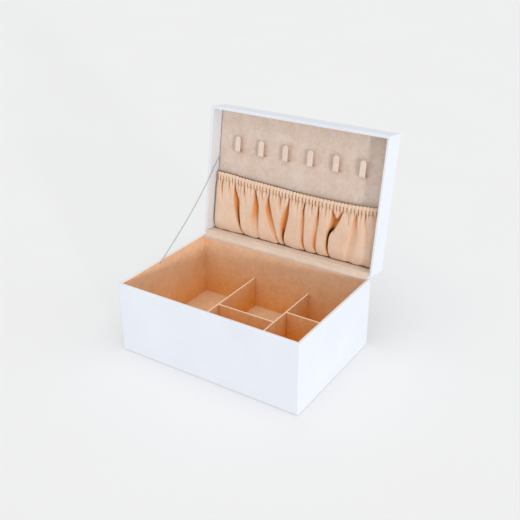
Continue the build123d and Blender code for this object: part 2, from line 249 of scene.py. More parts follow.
class Surface:
    """A Principled material with a few procedural patterns."""

    def __init__(self, name, **settings):
        self.material = bpy.data.materials.new(name)
        self.material.use_nodes = True
        self.tree = self.material.node_tree
        self.tree.nodes.clear()
        self.shader = self.tree.nodes.new("ShaderNodeBsdfPrincipled")
        output = self.tree.nodes.new("ShaderNodeOutputMaterial")
        self.tree.links.new(self.shader.outputs[0], output.inputs[0])
        self.place = self.tree.nodes.new("ShaderNodeTexCoord").outputs["Object"]
        for socket, value in settings.items():
            self.shader.inputs[socket.replace("_", " ")].default_value = value

    def node(self, kind, inputs=(), **properties):
        made = self.tree.nodes.new(kind)
        for key, value in properties.items():
            setattr(made, key, value)
        for key, value in dict(inputs).items():
            if isinstance(value, bpy.types.NodeSocket):
                self.tree.links.new(value, made.inputs[key])
            else:
                made.inputs[key].default_value = value
        return made

    def stretched(self, scale, rotation=(0, 0, 0)):
        inputs = {"Vector": self.place, "Scale": scale, "Rotation": rotation}
        return self.node("ShaderNodeMapping", inputs).outputs[0]

    def noise(self, size, detail=2.0, roughness=0.5, distortion=0.0, place=None):
        """Noise whose features are about size millimetres across."""
        inputs = {
            "Vector": place or self.place,
            "Scale": 1000.0 / size,
            "Detail": detail,
            "Roughness": roughness,
            "Distortion": distortion,
        }
        return self.node("ShaderNodeTexNoise", inputs).outputs[0]

    def cells(self, size, place=None):
        inputs = {"Vector": place or self.place, "Scale": 1000.0 / size, "Smoothness": 0.35}
        return self.node("ShaderNodeTexVoronoi", inputs, feature="SMOOTH_F1").outputs["Distance"]

    def math(self, operation, *values):
        return self.node("ShaderNodeMath", dict(enumerate(values)), operation=operation).outputs[0]

    def spread(self, value, low, high, to_low=0.0, to_high=1.0):
        inputs = {"Value": value, "From Min": low, "From Max": high, "To Min": to_low, "To Max": to_high}
        return self.node("ShaderNodeMapRange", inputs).outputs[0]

    def mix(self, factor, a, b, blend="MIX"):
        made = self.node("ShaderNodeMix", {0: factor, 6: a, 7: b}, data_type="RGBA", blend_type=blend)
        return made.outputs[2]

    def value_of(self, name):
        return self.node("ShaderNodeAttribute", attribute_name=name).outputs["Fac"]

    def bump(self, height, depth, strength=1.0, under=None):
        """Relief of depth millimetres, over an earlier relief."""
        inputs = {"Height": height, "Distance": depth * MM, "Strength": strength}
        if under:
            inputs["Normal"] = under
        return self.node("ShaderNodeBump", inputs).outputs[0]

    def set(self, socket, value):
        self.tree.links.new(value, self.shader.inputs[socket])


def suede(
    name, dark, light, sheen, painted_shade=None, nap=(1, 1, 1), relief=1.0, edge=None, deep=None,
    painted_pleat_shade=None,
):
    """Microsuede: a mottled colour, a brushed nap and fine fibres.

    The fold colour is painted shade, blended in by an amount per vertex, which turns to a
    painted near-black in the deepest folds, and the pleat colour is painted shade in its small
    tight pleats. edge is the height in millimetres and the colour of a painted highlight along
    a folded top edge, and deep two heights and the tint painted between them, painted shade
    and bounce light that grow from the first height down to the second.
    """
    look = Surface(name, Sheen_Weight=sheen, Sheen_Roughness=0.45, Specular_IOR_Level=0.12)
    look.shader.inputs["Sheen Tint"].default_value = (1.0, 0.95, 0.9, 1)
    brushed = look.stretched(nap)
    patches = look.noise(26, detail=3, roughness=0.6, place=brushed)
    strokes = look.noise(6, detail=4, roughness=0.65, distortion=0.4, place=brushed)
    fibres = look.noise(0.5, detail=2, roughness=0.7)
    mottle = look.math("MULTIPLY_ADD", strokes, 0.55, look.math("MULTIPLY", patches, 0.45))
    colour = look.mix(look.spread(mottle, 0.36, 0.64), (*dark, 1), (*light, 1))
    grain = look.spread(fibres, 0.25, 0.75, 0.93, 1.06)
    grey = look.node("ShaderNodeCombineColor", {0: grain, 1: grain, 2: grain}).outputs[0]
    colour = look.mix(1.0, colour, grey, "MULTIPLY")
    # The fold colour is painted shade: an amount per vertex blends it in, and the deepest folds go on to
    # painted near-black
    if painted_shade:
        depth = look.value_of("painted_shade")
        colour = look.mix(look.spread(depth, 0.05, 0.55), colour, (*painted_shade, 1))
        colour = look.mix(look.spread(depth, 0.66, 0.9, 0.0, 0.96), colour, DEEPEST_PAINTED_SHADE)
    # The pleat colour is painted shade in the small tight pleats
    if painted_pleat_shade:
        colour = look.mix(look.value_of("painted_pleat_shade"), colour, (*painted_pleat_shade, 1))
    height = look.node("ShaderNodeSeparateXYZ", {0: look.place}).outputs["Z"]
    # Painted shade and bounce light: the tint grows from the first height down to the second
    if deep:
        lower = look.spread(height, deep[0] * MM, deep[1] * MM)
        colour = look.mix(lower, colour, look.mix(1.0, colour, (*deep[2], 1), "MULTIPLY"))
    # A painted highlight along the top edge
    if edge:
        painted_highlight = look.spread(height, (edge[0] - 0.7) * MM, (edge[0] - 0.15) * MM, 0.0, 0.95)
        colour = look.mix(painted_highlight, colour, (*edge[1], 1))
    look.set("Base Color", colour)
    look.set("Roughness", look.spread(strokes, 0.3, 0.7, 0.84, 0.98))
    soft = look.bump(strokes, 0.35 * relief, 0.5)
    look.set("Normal", look.bump(fibres, 0.12 * relief, 0.6, soft))
    return look.material


def leatherette():
    """White coated leatherette with a fine even grain and a satin surface."""
    look = Surface("leatherette", Specular_IOR_Level=0.42)
    tone = look.noise(60, detail=2)
    look.set("Base Color", look.mix(look.spread(tone, 0.3, 0.7), LEATHER_LOW, LEATHER_HIGH))
    grain = look.cells(0.85)
    pores = look.noise(0.35, detail=2, roughness=0.6)
    look.set("Roughness", look.spread(look.noise(9, detail=3), 0.3, 0.7, 0.36, 0.47))
    swell = look.bump(look.noise(38, detail=1), 0.5, 0.35)
    grained = look.bump(grain, 0.07, 0.45, swell)
    look.set("Normal", look.bump(pores, 0.03, 0.4, grained))
    return look.material


def twisted_cord():
    """Off-white polyester cord: fine fibres along each strand, and painted shade in the grooves between
    strands.
    """
    look = Surface("twisted cord", Sheen_Weight=0.25, Sheen_Roughness=0.4, Specular_IOR_Level=0.25)
    fibres = look.noise(0.3, detail=3, roughness=0.7)
    # Painted shade in the grooves between the strands
    groove = look.value_of("groove")
    pale = look.mix(look.spread(fibres, 0.3, 0.7), (0.55, 0.55, 0.54, 1), (0.68, 0.68, 0.67, 1))
    look.set("Base Color", look.mix(groove, pale, (0.33, 0.33, 0.33, 1)))
    look.set("Roughness", look.spread(fibres, 0.3, 0.7, 0.62, 0.8))
    look.set("Normal", look.bump(fibres, 0.08, 0.7))
    return look.material


def satin_metal(name, dark, light):
    """Nickel-plated steel with faint brushing along X."""
    look = Surface(name, Metallic=1.0)
    streaks = look.noise(0.7, detail=4, roughness=0.7, place=look.stretched((0.03, 1, 1)))
    cloudy = look.noise(16, detail=2)
    look.set("Base Color", look.mix(look.spread(cloudy, 0.3, 0.7), dark, light))
    look.set("Roughness", look.spread(streaks, 0.3, 0.7, 0.26, 0.44))
    look.set("Normal", look.bump(streaks, 0.01, 0.35))
    return look.material


def board_fibre():
    """Pressed fibre board, grey-brown with darker flecks."""
    look = Surface("fibre board", Specular_IOR_Level=0.2)
    flecks = look.noise(1.6, detail=4, roughness=0.75)
    colour = look.mix(look.spread(flecks, 0.35, 0.65), (0.30, 0.24, 0.17, 1), (0.52, 0.44, 0.34, 1))
    look.set("Base Color", colour)
    look.set("Roughness", look.spread(flecks, 0.3, 0.7, 0.8, 0.95))
    look.set("Normal", look.bump(flecks, 0.15, 0.5))
    return look.material


def embossed_paper():
    """White covering paper with a fine embossed dimple."""
    look = Surface("embossed paper", Specular_IOR_Level=0.3)
    dimples = look.cells(1.5)
    clouds = look.noise(45, detail=3)
    colour = look.mix(look.spread(clouds, 0.3, 0.7), (0.74, 0.74, 0.74, 1), (0.82, 0.82, 0.82, 1))
    look.set("Base Color", colour)
    look.set("Roughness", look.spread(clouds, 0.3, 0.7, 0.6, 0.72))
    look.set("Normal", look.bump(dimples, 0.12, 0.6))
    return look.material


def pale_foam():
    """White foam sheet: small open cells, their pits painted darker as shade."""
    look = Surface("foam", Specular_IOR_Level=0.2)
    bubbles = look.cells(1.1)
    # Painted shade in the cells' pits, darker where the bump sinks
    colour = look.mix(look.spread(bubbles, 0.1, 0.6), (0.55, 0.54, 0.5, 1), (0.84, 0.83, 0.79, 1))
    look.set("Base Color", colour)
    look.set("Roughness", look.spread(bubbles, 0.1, 0.6, 0.85, 0.95))
    look.set("Normal", look.bump(bubbles, 0.25, 0.7))
    return look.material


def studio_floor():
    """Seamless pale paper."""
    look = Surface("studio floor", Specular_IOR_Level=0.1)
    clouds = look.noise(400, detail=2)
    look.set("Base Color", look.mix(look.spread(clouds, 0.3, 0.7), PAPER_LOW, PAPER_HIGH))
    look.set("Roughness", look.spread(clouds, 0.3, 0.7, 0.9, 0.95))
    return look.material


leather = leatherette()
# The lining, floor and dividers are the lid panel's cloth painted a deeper orange, standing for bounce
# light and shade inside the compartments; the lining and dividers also get a painted top-edge highlight and
# painted shade lower down
lining_suede = suede(
    "lining suede", (0.81, 0.53, 0.33), (0.92, 0.66, 0.45), 0.1,
    edge=(LINING_TOP, EDGE_PAINTED_HIGHLIGHT), deep=(88, 15, (1.03, 0.78, 0.4)),
)
floor_suede = suede("floor suede", (0.78, 0.49, 0.28), (0.88, 0.60, 0.38), 0.1)
divider_suede = suede(
    "divider suede", (0.82, 0.48, 0.24), (0.92, 0.60, 0.34), 0.05,
    edge=(DIVIDER_TOP, EDGE_PAINTED_HIGHLIGHT), deep=(59, 22, (0.98, 0.72, 0.26)),
)
panel_suede = suede("panel suede", (0.685, 0.54, 0.44), (0.80, 0.68, 0.60), 0.2, painted_shade=(0.55, 0.36, 0.25))
hook_suede = suede(
    "hook suede", (0.78, 0.65, 0.56), (0.86, 0.745, 0.66), 0.2,
    relief=0.6, painted_shade=(0.60, 0.36, 0.20),
)
pocket_suede = suede(
    "pocket suede", (0.80, 0.58, 0.43), (0.86, 0.66, 0.51), 0.15,
    painted_shade=(0.74, 0.33, 0.11), painted_pleat_shade=(0.42, 0.19, 0.08),
)
joint_suede = suede(
    "joint suede", (0.74, 0.585, 0.465), (0.82, 0.68, 0.56), 0.2,
    nap=(0.5, 1.4, 1.4), painted_shade=(0.45, 0.27, 0.16),
)
cord_material = twisted_cord()
metal = satin_metal("satin nickel", (0.50, 0.49, 0.47, 1), (0.56, 0.55, 0.53, 1))
screw_metal = satin_metal("screw nickel", (0.34, 0.33, 0.32, 1), (0.42, 0.41, 0.40, 1))
fibre = board_fibre()
paper = embossed_paper()
foam = pale_foam()

# ---- Camera ----

camera = bpy.data.objects.new("camera", bpy.data.cameras.new("camera"))
camera.data.lens = 53.1
camera.data.sensor_width = 36.0
camera.data.clip_start, camera.data.clip_end = 0.02, 60.0
right = Vector((0.84105, 0.54093, -0.00474))
up = Vector((-0.23753, 0.37716, 0.89517))
back = Vector((0.48601, -0.75176, 0.44570))
camera.matrix_world = Matrix.Translation((0.54694, -0.80572, 0.62976)) @ Matrix(
    (right, up, back)
).transposed().to_4x4()
bpy.context.scene.collection.objects.link(camera)
bpy.context.scene.camera = camera

# ---- Stay cord: three twisted strands along the route's own smooth line ----


def route_line(points):
    """Points along the NURBS line whose control points are the route."""
    curve = bpy.data.curves.new("cord route", "CURVE")
    curve.dimensions = "3D"
    curve.resolution_u = 60
    spline = curve.splines.new("NURBS")
    spline.points.add(len(points) - 1)
    for point, place in zip(spline.points, points):
        point.co = (*(Vector(place) * MM), 1.0)
    spline.order_u = 3
    spline.use_endpoint_u = True
    holder = bpy.data.objects.new("cord route", curve)
    bpy.context.scene.collection.objects.link(holder)
    read = bpy.data.meshes.new_from_object(holder)
    line = np.array([v.co for v in read.vertices]) / MM
    bpy.data.objects.remove(holder)
    bpy.data.meshes.remove(read)
    return line


def evenly(line, spacing):
    """The same line with points a steady spacing apart, and its length."""
    steps = np.linalg.norm(np.diff(line, axis=0), axis=1)
    along = np.concatenate([[0], np.cumsum(steps)])
    wanted = np.linspace(0, along[-1], int(along[-1] / spacing) + 1)
    return np.stack([np.interp(wanted, along, line[:, i]) for i in range(3)], 1), along[-1]


CORD_PITCH = 7.0
CORD_AROUND = 30

cord_line, cord_length = evenly(route_line(CORD_POINTS), 0.45)
tangents = np.gradient(cord_line, axis=0)
tangents /= np.linalg.norm(tangents, axis=1)[:, None]
side = np.cross(tangents, ACROSS)
side /= np.linalg.norm(side, axis=1)[:, None]
other = np.cross(tangents, side)
strand_centre, strand_radius = 0.536 * CORD / 2, 0.464 * CORD / 2
around = np.linspace(0, 2 * pi, CORD_AROUND, endpoint=False)
spacing = cord_length / (len(cord_line) - 1)
twist = 2 * pi * np.arange(len(cord_line)) * spacing / CORD_PITCH
lobe = (around[None, :] - twist[:, None]) % (2 * pi / 3) - pi / 3
reach = np.sqrt(np.clip(strand_radius**2 - (strand_centre * np.sin(lobe)) ** 2, 0, None))
radii = strand_centre * np.cos(lobe) + reach
radii = np.maximum(radii, 0.62 * CORD / 2)
cord_points = (
    cord_line[:, None, :]
    + radii[..., None] * np.cos(around)[None, :, None] * side[:, None, :]
    + radii[..., None] * np.sin(around)[None, :, None] * other[:, None, :]
)
rings = len(cord_line)
cord_faces = grid_faces(rings, CORD_AROUND, closed_columns=True).tolist()
cord_faces.append(list(range(CORD_AROUND))[::-1])
cord_faces.append([(rings - 1) * CORD_AROUND + i for i in range(CORD_AROUND)])
cord = mesh_piece("stay_cord_strands", cord_points, cord_faces, cord_material, sharp=80)
# How deep each point lies in a groove between strands, for painted shade there
attribute(cord, "groove", smoothstep((0.86 - radii / (CORD / 2)) / 0.22))
finish_piece(cord, None, "cord", "stay_cord")

# ---- Leatherette skins ----


def skin(name, profile, place, low_y, high_y, groove=()):
    """A skin lofted round the case from profile points (inset, height).

    place turns x, y and height into points. groove lists the profile points whose corners
    dip, where the cover is mitred.
    """
    loops, corner = [], 1.0
    for index, (inset, height) in enumerate(profile):
        loop = rounded_loop(inset, corner, WIDTH / 2, low_y, high_y)
        heights = np.full(len(loop), float(height))
        if index in groove:
            per_corner = len(loop) // 4
            middle = per_corner // 2
            heights[[i * per_corner + middle for i in range(4)]] -= 0.16
        loops.append(place(loop[:, 0], loop[:, 1], heights))
    count = len(loops[0])
    faces = grid_faces(len(loops), count, closed_rows=True, closed_columns=True).tolist()
    return mesh_piece(name, loops, faces, leather, sharp=60)


rim_top = BASE_HEIGHT
base_profile = [(3.6, rim_top - 0.58), (3.6, rim_top - 0.35)]
base_profile += turn(180, 90, 3.25, rim_top - 0.35, 0.35, 4)
base_profile += [(2.9, rim_top), (1.5, rim_top), (1.1, rim_top)]
base_profile += turn(90, 0, 0.9, rim_top - 0.9, 0.9, 6)
base_profile += [(0, rim_top - 1.6), (0, rim_top - 40), (0, 40), (0, 2.2), (0, 1.2)]
base_profile += turn(0, -90, 0.8, 1.2, 0.8, 5)
base_profile += [(1.4, 0.4), (3.0, 0.4), (3.0, 0.48), (0.58, 0.48), (0.58, rim_top - 0.58)]
rim_rows = [i for i, (inset, height) in enumerate(base_profile) if height > rim_top - 0.3]
base_skin = skin("base_leatherette", base_profile, on_base, -DEPTH / 2, DEPTH / 2, groove=rim_rows)
finish_piece(base_skin, "base", "leatherette", "base_wrap")

lid_profile = [(4.2, -24.3), (4.2, -12), (4.2, -1.5), (4.2, -0.75)]
lid_profile += turn(180, 90, 3.45, -0.75, 0.75, 5)
lid_profile += [(3.1, 0), (1.4, 0), (1.1, 0)]
lid_profile += turn(90, 0, 0.9, -0.9, 0.9, 6)
lid_profile += [(0, -1.6), (0, -12), (0, -35.4), (0, -36.0)]
lid_profile += turn(0, -90, 1.0, -36.0, 1.0, 6)
lid_profile += [(1.8, -37.0), (30, -37.0)]
outer_cap = len(lid_profile) - 1
lid_profile += [(30, -36.42), (0.58, -36.42), (0.58, -0.58), (3.62, -0.58), (3.62, -24.3)]
lid_rows = [i for i, (inset, height) in enumerate(lid_profile) if height > -0.3]


def lid_skin():
    """The lid's cover: its loft is closed, and its top is filled inside and out."""
    loops = []
    for index, (inset, height) in enumerate(lid_profile):
        loop = rounded_loop(inset, 1.0, WIDTH / 2, 0, DEPTH)
        heights = np.full(len(loop), float(height))
        if index in lid_rows:
            per_corner = len(loop) // 4
            heights[[i * per_corner + per_corner // 2 for i in range(4)]] -= 0.16
        loops.append(on_lid(loop[:, 0], loop[:, 1], heights))
    count = len(loops[0])
    before = grid_faces(outer_cap + 1, count, closed_columns=True)
    after = grid_faces(len(loops) - outer_cap - 1, count, closed_columns=True)
    after = after + (outer_cap + 1) * count
    seam = [
        ((len(loops) - 1) * count + i, i, (i + 1) % count, (len(loops) - 1) * count + (i + 1) % count)
        for i in range(count)
    ]
    faces = before.tolist() + after.tolist() + seam
    faces.append([outer_cap * count + i for i in range(count)])
    faces.append([(outer_cap + 1) * count + i for i in range(count)][::-1])
    return mesh_piece("lid_leatherette", loops, faces, leather, sharp=60)


finish_piece(lid_skin(), "lid", "leatherette", "lid_wrap")

# ---- Base lining, floor and dividers ----

LINING_BOTTOM = 4.6


def suede_board(name, node, low, high, radius, material=lining_suede):
    board = rounded_box(name, low, high, radius, material)
    return finish_piece(board, "base", "suede", node)


# How far the folded edges are rounded
LINING_EDGE, DIVIDER_EDGE = 0.4, 0.85
DIVIDER_FOOT = FLOOR_TOP - 1

outer_x, outer_y = INNER_X + LINING, INNER_Y + LINING
suede_board(
    "front_lining_suede", "front_lining",
    (-outer_x, -outer_y, LINING_BOTTOM), (outer_x, -INNER_Y, LINING_TOP), LINING_EDGE,
)
suede_board(
    "rear_lining_suede", "rear_lining",
    (-outer_x, INNER_Y, LINING_BOTTOM), (outer_x, outer_y, REAR_LINING_TOP), LINING_EDGE,
)
suede_board(
    "right_lining_suede", "right_lining",
    (INNER_X, -INNER_Y, LINING_BOTTOM), (outer_x, INNER_Y, LINING_TOP), LINING_EDGE,
)

divider_half = DIVIDER / 2
left_face, right_face = LEFT_DIVIDER_X + divider_half, RIGHT_DIVIDER_X - divider_half
suede_board(
    "left_divider_suede", "left_divider",
    (LEFT_DIVIDER_X - divider_half, -INNER_Y, DIVIDER_FOOT),
    (left_face, INNER_Y, DIVIDER_TOP),
    DIVIDER_EDGE, divider_suede,
)
suede_board(
    "right_divider_suede", "right_divider",
    (right_face, -INNER_Y, DIVIDER_FOOT),
    (RIGHT_DIVIDER_X + divider_half, INNER_Y, DIVIDER_TOP),
    DIVIDER_EDGE, divider_suede,
)
suede_board(
    "centre_cross_suede", "centre_cross_divider",
    (left_face, CENTRE_CROSS_Y - divider_half, DIVIDER_FOOT),
    (right_face, CENTRE_CROSS_Y + divider_half, DIVIDER_TOP),
    DIVIDER_EDGE, divider_suede,
)
suede_board(
    "right_cross_suede", "right_cross_divider",
    (RIGHT_DIVIDER_X + divider_half, RIGHT_CROSS_Y - divider_half, DIVIDER_FOOT),
    (INNER_X, RIGHT_CROSS_Y + divider_half, DIVIDER_TOP),
    DIVIDER_EDGE, divider_suede,
)


def floor_piece():
    """The floor pad: its suede is drawn down a little along every wall and divider."""
    xs, ys = np.linspace(-INNER_X, INNER_X, 195), np.linspace(-INNER_Y, INNER_Y, 131)
    x, y = np.meshgrid(xs, ys, indexing="ij")
    gaps = [INNER_X - abs(x), INNER_Y - abs(y), abs(x - LEFT_DIVIDER_X), abs(x - RIGHT_DIVIDER_X)]
    centre = (x > LEFT_DIVIDER_X) & (x < RIGHT_DIVIDER_X)
    gaps.append(np.where(centre, abs(y - CENTRE_CROSS_Y), 1e3))
    gaps.append(np.where(x > RIGHT_DIVIDER_X, abs(y - RIGHT_CROSS_Y), 1e3))
    gap = np.min(gaps, axis=0)
    z = FLOOR_TOP + 0.25 - 0.9 * np.exp(-gap / 1.6)
    z += 0.12 * np.sin(x / 17 + 1.3 * np.sin(y / 23)) * np.sin(y / 19)
    top = on_base(x, y, z).reshape(-1, 3)
    under = on_base(x, y, LINING_BOTTOM).reshape(-1, 3)
    rows, columns = len(xs), len(ys)
    faces = grid_faces(rows, columns)
    low = faces[:, ::-1] + rows * columns
    index = np.arange(rows * columns).reshape(rows, columns)
    rim = np.concatenate([index[0], index[1:, -1], index[-1, -2::-1], index[-2:0:-1, 0]])
    next_rim = np.roll(rim, -1)
    walls = np.stack([rim, next_rim, next_rim + rows * columns, rim + rows * columns], -1)
    faces = np.concatenate([faces, low, walls])
    return mesh_piece("floor_suede", np.concatenate([top, under]), faces, floor_suede)


finish_piece(floor_piece(), "base", "suede", "floor_pad")

# ---- Lid panel and hooks ----

hook_xs = [(i - (HOOK_COUNT - 1) / 2) * HOOK_PITCH for i in range(HOOK_COUNT)]


def panel_piece():
    """The suede panel: rolled edges, and a pucker where each hook's stem goes in, with painted shade there
    and under the pocket's mouth.
    """
    edge = np.array([0, 0.15, 0.4, 0.8, 1.4, 2.2])
    inner_x = np.linspace(4, -2 * PANEL_LEFT - 4, 190)
    inner_v = np.linspace(4, PANEL_FRONT - PANEL_REAR - 4, 130)
    xs = PANEL_LEFT + np.concatenate([edge, inner_x, -2 * PANEL_LEFT - edge[::-1]])
    vs = PANEL_REAR + np.concatenate([edge, inner_v, PANEL_FRONT - PANEL_REAR - edge[::-1]])
    x, v = np.meshgrid(xs, vs, indexing="ij")
    to_side = np.minimum(x - PANEL_LEFT, -PANEL_LEFT - x)
    gap = np.minimum(to_side, np.minimum(v - PANEL_REAR, PANEL_FRONT - v))
    roll = np.clip(1 - gap / 1.4, 0, 1)
    n = -PANEL_DEPTH - 1.4 * (1 - np.sqrt(1 - roll**2))
    n += 0.25 * np.sin(x / 31 + np.sin(v / 27)) * np.sin(v / 36 + 0.8)
    pucker = np.zeros_like(x)
    for hook_x in hook_xs:
        away = np.hypot(np.maximum(abs(x - hook_x) - HOOK_WIDTH / 2, 0), v - HOOK_FOOT - HOOK_THICKNESS / 2)
        pucker += np.exp(-((away / 2.6) ** 2))
    n -= 0.55 * pucker
    front = on_lid(x, v, n).reshape(-1, 3)
    rear = on_lid(x, v, -PANEL_DEPTH - 4).reshape(-1, 3)
    rows, columns = x.shape
    faces = grid_faces(rows, columns)
    low = faces[:, ::-1] + rows * columns
    index = np.arange(rows * columns).reshape(rows, columns)
    rim = np.concatenate([index[0], index[1:, -1], index[-1, -2::-1], index[-2:0:-1, 0]])
    next_rim = np.roll(rim, -1)
    walls = np.stack([rim, next_rim, next_rim + rows * columns, rim + rows * columns], -1)
    faces = np.concatenate([faces, low, walls])
    piece = mesh_piece("lid_panel_suede", np.concatenate([front, rear]), faces, panel_suede)
    # Painted shade under the pocket's mouth and in the pucker round each hook's stem
    shaded = np.maximum(0.82 * smoothstep((100.6 - mouth_sag(x) - v) / 1.8), 0.3 * pucker).ravel()
    attribute(piece, "painted_shade", np.concatenate([shaded, shaded]))
    return piece


panel = finish_piece(panel_piece(), "lid", "suede", "lid_panel")


def hook_piece(number, x):
    """A stiff tab wrapped in suede: a loft along its stem, its bend and its face, with painted shade on its
    sides and back.
    """
    middle = HOOK_GAP + HOOK_THICKNESS / 2
    foot = HOOK_FOOT + HOOK_THICKNESS / 2
    bend = 1.9
    stem = [(foot, h) for h in np.linspace(-4, middle - bend, 9)]
    elbow = [
        (foot + bend * (1 - cos(a)), middle - bend + bend * sin(a))
        for a in np.linspace(0, pi / 2, 9)[1:]
    ]
    face = [(v, middle) for v in HOOK_TIP - 5 * (1 - np.sin(np.linspace(0, pi / 2, 15)))]
    shank = [(v, middle) for v in np.linspace(foot + bend + 1, HOOK_TIP - 6, 14)]
    path = np.array(stem + elbow + shank + face)
    tangent = np.gradient(path, axis=0)
    tangent /= np.linalg.norm(tangent, axis=1)[:, None]
    outward = np.stack([-tangent[:, 1], tangent[:, 0]], 1)
    to_tip = np.clip(HOOK_TIP - path[:, 0], 0.02, 5)
    to_tip = np.where(path[:, 1] > middle - 0.01, to_tip, 5)
    half = np.sqrt(np.clip(25 - (5 - to_tip) ** 2, 0.02, None)) * HOOK_WIDTH / 10
    thin = HOOK_THICKNESS / 2 * np.clip(np.sqrt(to_tip / 1.2), 0.12, 1)
    count = 32
    angle = np.linspace(0, 2 * pi, count, endpoint=False)
    wide = np.sign(np.cos(angle)) * abs(np.cos(angle)) ** 0.35
    deep = np.sign(np.sin(angle)) * abs(np.sin(angle)) ** 0.6
    pinch = 1 - 0.035 * np.exp(-((np.sin(angle) / 0.25) ** 2))
    across = x + half[:, None] * (wide * pinch)[None, :]
    offset = thin[:, None] * deep[None, :]
    v = path[:, 0, None] + outward[:, 0, None] * offset
    n = -PANEL_DEPTH + path[:, 1, None] + outward[:, 1, None] * offset
    points = on_lid(across, v, n)
    rows = len(path)
    faces = grid_faces(rows, count, closed_columns=True).tolist()
    faces.append(list(range(count))[::-1])
    faces.append([(rows - 1) * count + i for i in range(count)])
    piece = mesh_piece(f"hook_{number}_suede", points, faces, hook_suede, sharp=80)
    # Painted shade on the tab's sides and back
    on_side = smoothstep((abs(wide) - 0.9) / 0.1) * np.ones((rows, 1))
    behind = smoothstep((-deep - 0.2) / 0.4) * np.ones((rows, 1))
    attribute(piece, "painted_shade", 0.55 * np.maximum(on_side, behind))
    return piece


for number, hook_x in enumerate(hook_xs, start=1):
    finish_piece(hook_piece(number, hook_x), "lid", "suede", f"hook_{number}")

# ---- Gathered pocket ----

# Each fold is a trough down the cloth, from mouth to foot: (x, v, depth, width to its left,
# width to its right) in millimetres
FOLDS = [
    [
        (-105, 87, 4.0, 1.3, 1.3), (-104, 80, 6.5, 1.8, 1.8), (-100, 65, 8.5, 3.6, 4.4),
        (-96, 45, 9.5, 3.4, 3.2), (-90, 22, 9.5, 1.8, 1.6), (-86, 8, 9.0, 1.3, 1.2),
    ],
    [
        (-67, 87, 5.0, 1.2, 1.2), (-65, 80, 7.0, 1.8, 1.8), (-62, 66, 7.5, 4.0, 3.4),
        (-60, 50, 6.5, 6.0, 3.0), (-58, 35, 4.2, 8.0, 2.2), (-56, 20, 2.2, 8.0, 1.6),
        (-55, 8, 1.4, 4.0, 1.3),
    ],
    [
        (-41, 87, 4.0, 1.3, 1.3), (-41, 76, 6.5, 2.0, 2.0), (-39, 60, 6.8, 4.0, 4.0),
        (-34, 42, 5.4, 4.0, 5.0), (-27, 24, 3.8, 3.0, 4.4), (-20, 8, 3.8, 1.6, 2.2),
    ],
    [
        (-5, 87, 4.0, 1.2, 1.2), (-5, 78, 6.0, 1.8, 1.5), (-6, 62, 8.0, 4.6, 2.6),
        (-9, 42, 9.0, 4.6, 3.4), (-11, 24, 9.6, 2.0, 3.0), (-9, 8, 9.0, 1.3, 1.5),
    ],
    [
        (22, 87, 6.0, 1.2, 1.2), (22, 78, 7.0, 1.5, 1.3), (23, 62, 5.0, 3.0, 2.0),
        (24, 38, 4.4, 3.2, 2.0), (26, 20, 6.0, 2.6, 1.6), (28, 8, 6.2, 1.4, 1.3),
    ],
    [
        (46, 87, 5.6, 1.2, 1.2), (47, 76, 6.2, 1.6, 1.6), (47, 60, 4.4, 3.4, 2.2),
        (46, 40, 4.0, 4.0, 2.4), (46, 20, 5.4, 3.4, 2.2), (48, 8, 5.4, 1.8, 1.5),
    ],
    [
        (69, 87, 4.5, 1.2, 1.6), (71, 78, 7.4, 1.8, 4.0), (72, 68, 9.2, 2.6, 6.0),
        (70, 55, 10.2, 2.6, 3.0), (67, 42, 10.5, 2.0, 2.0), (67, 24, 10.5, 1.8, 1.8),
        (70, 8, 9.4, 1.5, 1.4),
    ],
    [
        (85, 87, 4.4, 1.2, 1.2), (83, 78, 6.8, 2.4, 1.5), (79, 68, 7.8, 4.0, 2.2),
        (74, 56, 6.0, 3.6, 2.4),
    ],
    [
        (108, 87, 4.4, 1.2, 1.2), (107, 76, 4.2, 1.6, 3.6), (105, 55, 2.6, 2.0, 8.0),
        (102, 30, 1.7, 2.2, 9.0), (100, 10, 0.9, 2.4, 8.0),
    ],
    [
        (123, 87, 3.2, 1.3, 1.3), (124, 76, 2.2, 1.8, 2.2), (126, 55, 1.0, 3.0, 5.0),
        (127, 30, 0.6, 4.0, 6.0),
    ],
    [(-130, 87, 4.0, 1.2, 1.2), (-129, 76, 3.6, 1.5, 1.5), (-128, 62, 1.2, 2.2, 2.2)],
    [(-117, 87, 3.0, 1.2, 1.2), (-115, 77, 2.0, 1.8, 1.8), (-113, 63, 0.7, 3.0, 3.0)],
    [(-88, 88, 3.6, 1.2, 1.2), (-86, 78, 3.2, 1.5, 1.5), (-84, 66, 1.0, 2.2, 2.2)],
    [(-56, 88, 3.0, 1.1, 1.1), (-53, 79, 2.0, 1.6, 1.6), (-51, 68, 0.7, 2.6, 2.6)],
    [(-21, 88, 3.8, 1.3, 1.3), (-20, 79, 3.4, 1.6, 1.6), (-21, 66, 1.2, 2.4, 2.4)],
    [(9, 88, 3.0, 1.1, 1.1), (9, 80, 1.6, 1.6, 1.6), (10, 70, 0.6, 2.6, 2.6)],
    [(35, 88, 3.0, 1.1, 1.1), (35, 80, 1.8, 1.6, 1.6), (36, 71, 0.6, 2.4, 2.4)],
    [(58, 88, 2.6, 1.1, 1.1), (58, 80, 1.6, 1.6, 1.6), (57, 70, 0.6, 2.4, 2.4)],
    [(96, 88, 3.0, 1.1, 1.1), (96, 78, 1.8, 1.6, 1.6), (97, 66, 0.6, 2.6, 2.6)],
    [(137, 88, 2.6, 1.2, 1.2), (138, 78, 1.6, 1.6, 1.6), (138, 62, 0.6, 2.6, 2.6)],
]

# The gathers, the height of the casing's lower seam, and how far in from each end the cloth
# rises from the panel to its full depth
PLEATS = 50
STITCH = 89.2
END_RISE = 11.0
# The casing's upper seam, and the resolution: the section's first rings are the hem inside
UPPER_STITCH = 98.6
POCKET_COLUMNS, POCKET_RINGS, HEM_RINGS = 640, 150, 22


